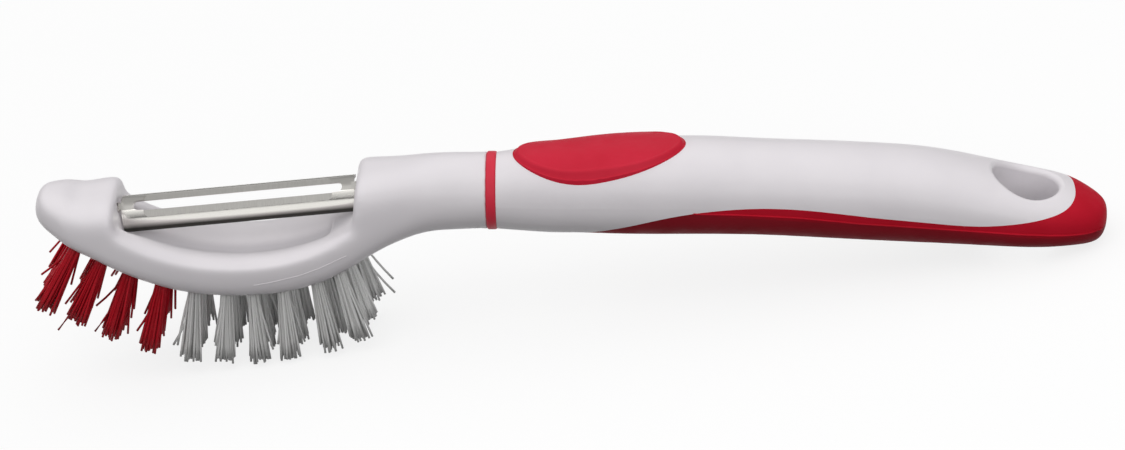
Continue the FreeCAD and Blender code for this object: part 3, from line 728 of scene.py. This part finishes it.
# %% A tube along a path
def tube(mesh, path, radius, sides):
    """A thin tube along a path, closed at both ends."""
    rings = []
    count = len(path)
    for step, point in enumerate(path):
        ahead = path[min(step + 1, count - 1)] - path[max(step - 1, 0)]
        side = ahead.orthogonal().normalized()
        other = ahead.cross(side).normalized()
        ring = []
        for turn in range(sides):
            angle = 2 * math.pi * turn / sides
            away = side * math.cos(angle) + other * math.sin(angle)
            ring.append(mesh.verts.new(point + away * radius))
        rings.append(ring)
    for low, high in zip(rings, rings[1:]):
        for turn in range(sides):
            after = (turn + 1) % sides
            mesh.faces.new((low[turn], low[after], high[after], high[turn]))
    mesh.faces.new(rings[0][::-1])
    mesh.faces.new(rings[-1])


def drawn(name, mesh, material):
    """A smooth piece from drawn tubes, with its finish."""
    data = bpy.data.meshes.new(name)
    mesh.to_mesh(data)
    mesh.free()
    data.shade_smooth()
    data.materials.append(material)
    return placed(name, data)


# %% Ridges
RIDGE_SIDES = 8
RIDGE_STEPS = 120
RIDGE_RADIUS_MM = 0.24
BOW_LINE_RADIUS_MM = 0.1
FAR_OUT_MM = 40
ridge_course = (
    (48.4, 0.0), (60.2, -0.42), (74.4, -1.32), (88.5, -2.92), (102.6, -3.92),
    (116.8, -4.77), (130.9, -5.71), (138.1, -6.5), (143.1, -7.1), (146.3, -7.4),
)
bow_course = ((-55.9, -19.2), (-52.0, -18.4), (-44.7, -16.5), (-39.8, -14.6), (-33.5, -11.6))


def ridge(name, carrier, course, side, radius_mm, material):
    """A fine ridge on one side of a mesh, along a level course."""
    corners = [v.co for v in carrier.vertices]
    surface = BVHTree.FromPolygons(corners, [p.vertices for p in carrier.polygons])
    course_x, course_z = np.array(course).T
    path = []
    for along in np.linspace(course_x[0], course_x[-1], RIDGE_STEPS):
        start = from_level(along, side * FAR_OUT_MM, np.interp(along, course_x, course_z))
        hit = surface.ray_cast(start, brush_across * -side)[0]
        if hit is not None:
            path.append(hit)
    mesh = bmesh.new()
    tube(mesh, path, radius_mm * MM, RIDGE_SIDES)
    piece = drawn(name, mesh, material)
    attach(piece, "brush")
    print(name, "touches its carrier at", len(path), "points")


soft_back = nodes["back_grip"].data
bow = head_shell.data
for end, side in (("front", -1), ("back", 1)):
    ridge("ridge_" + end, soft_back, ridge_course, side, RIDGE_RADIUS_MM, grip_red)
    ridge(
        "bow_line_" + end, bow, bow_course, side, BOW_LINE_RADIUS_MM, white_plastic
    )

# %% [markdown]
# ## The blade
#
# The blade is one sheet, and its solid is exact, but it has two finishes, rolled on the outside and
# ground along the slot, and a painted reflection on a part of its two ends. A material sits on faces,
# so a copy of the mesh stands for the solid, and the faces that lie in the two grinding planes are
# found by their normals. The far half of each end is grey and the near half bright, so the faces of
# the ends that look to the far side take a darker steel: a painted reflection.

# %% The blade's directions
BLADE_TURN = math.radians(37)
GROUND_SLOPE = math.radians(15.1)
DULL_TURN = math.radians(-20)
blade_axis = Vector(swivel["axis"]).normalized()
blade_level = -blade_axis


def turned(direction, angle):
    """A direction turned about the blade's axis, to the front where the angle is positive."""
    return Matrix.Rotation(angle, 3, blade_level) @ direction


crown = turned(brush_across.cross(blade_axis).normalized(), BLADE_TURN)
ground_normals = [turned(crown, side * GROUND_SLOPE) for side in (-1, 1)]
dull_side = turned(crown, DULL_TURN)
print("the crown looks to", [round(v, 2) for v in crown])

# %% Blade sheet
GROUND_HALF_MM = 23.3
FLAT_ENOUGH = 0.9995
DULL_REACH = math.radians(32)
GROUND_FINISH = 1
PAINTED_DULL_FINISH = 2
blade_sheet = placed("blade_sheet", nodes["peeler_blade"].data.copy())
blade_sheet.data.materials.clear()
for finish in (rolled_steel, ground_steel, painted_dull_steel):
    blade_sheet.data.materials.append(finish)
ground_faces = 0
for face in blade_sheet.data.polygons:
    from_middle = abs((face.center - pivot).dot(blade_level) / MM)
    flat = max(face.normal.dot(n) for n in ground_normals) > FLAT_ENOUGH
    dull = face.normal.dot(dull_side) > math.cos(DULL_REACH)
    if flat and from_middle < GROUND_HALF_MM:
        face.material_index = GROUND_FINISH
        ground_faces += 1
    # Ends that look to the far side take the darker steel: a painted reflection.
    elif dull and from_middle > GROUND_HALF_MM:
        face.material_index = PAINTED_DULL_FINISH
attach(blade_sheet, "blade")
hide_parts("peeler_blade")
print("ground faces:", ground_faces, "of", len(blade_sheet.data.polygons))

# %% How far round the bend a point lies
CROWN_TO_CENTRE_MM = 4.4
bend_side = crown.cross(blade_level)
bend_centre = pivot - crown * (CROWN_TO_CENTRE_MM * MM)
rounds = []
for vertex in blade_sheet.data.vertices:
    outwards = vertex.co - bend_centre
    sideways = abs(outwards.dot(bend_side))
    rounds.append(math.degrees(math.atan2(sideways, outwards.dot(crown))))
keep_numbers(blade_sheet, "from_crown", rounds)
print("the sheet reaches %.0f degrees round its bend" % max(rounds))

# %% [markdown]
# ## The tufts
#
# A tuft is a bundle of threads folded over a wire and pulled into its hole. It leaves the hole as a
# tight round bunch and opens towards its end, where the threads are trimmed, but never quite alike.
# Each thread here is a thin tube with its own root, spread, bend, length and tone. The solids give
# the place and the lean of every tuft, so each bundle is drawn along the axis of the solid it stands
# for. A few loose threads stick out further, and those are placed after the photograph.

# %% Where a tuft leaves the head
TUFT_DEPTH_MM = 5.5
END_SLICE_MM = 0.2


def tuft_axis(node):
    """Where a tuft leaves the head, its outward direction and its free length."""
    points = points_of(nodes[node].data)
    middle = points.mean(axis=0)
    direction = np.linalg.svd(points - middle, full_matrices=False)[2][0]
    if direction[2] > 0:
        direction = -direction
    reach = (points - middle) @ direction
    tip = points[reach > reach.max() - END_SLICE_MM * MM].mean(axis=0)
    root = points[reach < reach.min() + END_SLICE_MM * MM].mean(axis=0)
    out = Vector(tip - root).normalized()
    leaves = Vector(root) + out * (TUFT_DEPTH_MM * MM)
    return leaves, out, (Vector(tip) - leaves).length


tufts = sorted(name for name in nodes if name.startswith(("tuft_red", "tuft_grey")))
print("free length of", tufts[0], "is %.1f mm" % (tuft_axis(tufts[0])[2] / MM))

# %% Threads that open from a hole
THREADS_PER_TUFT = 46
THREAD_RADIUS_MM = 0.29
THREAD_STEPS = 6
FLOOR_GAP_MM = 0.15
ROOT_RADIUS_MM = 1.25
IN_HOLE_MM = 1.5
GOLDEN_TURN = 2.39996
ANGLE_JITTER = 0.3
OPENING_JITTER_MM = 0.12
BEND_JITTER_MM = 0.25
CUT_RANGE = (0.88, 1.02)
STRAY_OPENING_MM = (1.0, 3.2)
STRAY_BEND_MM = (0, 1.6)
STRAY_CUT = (0.72, 0.98)
OPENING_CURVE = 0.85
BEND_CURVE = 2
TONE_RANGE = 0.35
SEED = 41
dice = random.Random(SEED)
steps_along = [step / (THREAD_STEPS - 1) for step in range(THREAD_STEPS)]
box_inset = Vector((1, 1, 1)) * (THREAD_RADIUS_MM + FLOOR_GAP_MM) * MM
box_low = Vector(cad_box[0]) + box_inset
box_high = Vector(cad_box[1]) - box_inset


def kept_in(point):
    """A point held inside the box of the solids, and off the table."""
    return Vector(min(max(p, low), high) for p, low, high in zip(point, box_low, box_high))


def grown_threads(leaves, out, length, palest_painted_light, spread, stray_share):
    """Paths and tones of the threads that open from a hole."""
    side = out.orthogonal().normalized()
    other = out.cross(side)
    for number in range(THREADS_PER_TUFT):
        reach = math.sqrt((number + 0.5) / THREADS_PER_TUFT)
        angle = number * GOLDEN_TURN + dice.uniform(-ANGLE_JITTER, ANGLE_JITTER)
        away = side * math.cos(angle) + other * math.sin(angle)
        root = away * (ROOT_RADIUS_MM * reach * MM)
        opening = spread * reach + dice.gauss(0, OPENING_JITTER_MM)
        cut = length * dice.uniform(*CUT_RANGE)
        bend = side * dice.gauss(0, BEND_JITTER_MM) + other * dice.gauss(0, BEND_JITTER_MM)
        bend = bend * MM
        if dice.random() < stray_share:
            opening += dice.uniform(*STRAY_OPENING_MM)
            bend += away * (dice.uniform(*STRAY_BEND_MM) * MM)
            cut *= dice.uniform(*STRAY_CUT)
        path = []
        for share in steps_along:
            along = -IN_HOLE_MM * MM + share * (cut + IN_HOLE_MM * MM)
            free = max(0.0, along / length)
            sideways = away * (opening * MM * free**OPENING_CURVE) + bend * free**BEND_CURVE
            path.append(kept_in(leaves + out * along + root + sideways))
        yield path, palest_painted_light - dice.random() * TONE_RANGE


# %% Loose threads
LOOSE_BOW = 0.15
loose_tips = (
    ("tuft_grey_6_back", (-24.0, 9.5, -33.2)),
    ("tuft_grey_6_back", (-28.9, 7.5, -33.0)),
    ("tuft_red_1_middle", (-108.8, -1.0, -22.2)),
    ("tuft_red_1_front", (-109.6, -9.0, -25.0)),
    ("tuft_red_2_front", (-104.4, -9.0, -33.1)),
    ("tuft_red_3_front", (-95.5, -9.0, -33.5)),
    ("tuft_red_3_middle", (-96.1, -1.0, -30.9)),
    ("tuft_red_4_front", (-85.3, -9.0, -33.4)),
    ("tuft_grey_1_front", (-76.7, -9.0, -37.3)),
    ("tuft_grey_4_front", (-50.6, -9.5, -41.5)),
    ("tuft_grey_2_back", (-61.6, 9.0, -42.1)),
    ("tuft_grey_3_middle", (-53.5, 0.5, -42.3)),
    ("tuft_grey_4_back", (-44.2, 9.0, -41.4)),
    ("tuft_grey_5_middle", (-35.3, 0.5, -40.9)),
)


def loose_threads(node, leaves, out, palest_painted_light):
    """Paths and tones of the loose threads of one tuft, bowed on their way to their tips."""
    for strayed, tip in loose_tips:
        if strayed == node:
            end = from_level(*tip)
            bow = (out * (end - leaves).length - (end - leaves)) * LOOSE_BOW
            path = []
            for share in steps_along:
                path.append(kept_in(leaves.lerp(end, share) + bow * (4 * share * (1 - share))))
            yield path, palest_painted_light - TONE_RANGE


print("loose threads:", len(loose_tips))

# %% All tufts
THREAD_SIDES = 6
# The rows behind take paler tones: painted light, for light that reaches them too little.
ROW_PAINTED_LIGHT = {"front": 0.45, "middle": 0.95, "back": 1.0}
RED_SPREAD_MM = 1.2
RED_STRAYS = 0.05
GREY_SPREAD_MM = 1.25
GREY_STRAYS = 0.03


def tuft(node, material, spread, stray_share):
    """A bundle of threads that stands for a tuft's solid."""
    leaves, out, length = tuft_axis(node)
    palest_painted_light = ROW_PAINTED_LIGHT[node.split("_")[-1]]
    grown = grown_threads(leaves, out, length, palest_painted_light, spread, stray_share)
    loose = loose_threads(node, leaves, out, palest_painted_light)
    mesh = bmesh.new()
    tones = []
    for path, tone in (*grown, *loose):
        tube(mesh, path, THREAD_RADIUS_MM * MM, THREAD_SIDES)
        tones += [tone] * (THREAD_STEPS * THREAD_SIDES)
    piece = drawn(node.replace("tuft", "bristles"), mesh, material)
    keep_numbers(piece, "tone", tones)
    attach(piece, "brush")
    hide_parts(node)
    return len(piece.data.polygons)


thread_faces = 0
for name in tufts:
    if "red" in name:
        thread_faces += tuft(name, red_bristle, RED_SPREAD_MM, RED_STRAYS)
    else:
        thread_faces += tuft(name, grey_bristle, GREY_SPREAD_MM, GREY_STRAYS)
print("tufts:", len(tufts), "faces:", thread_faces)
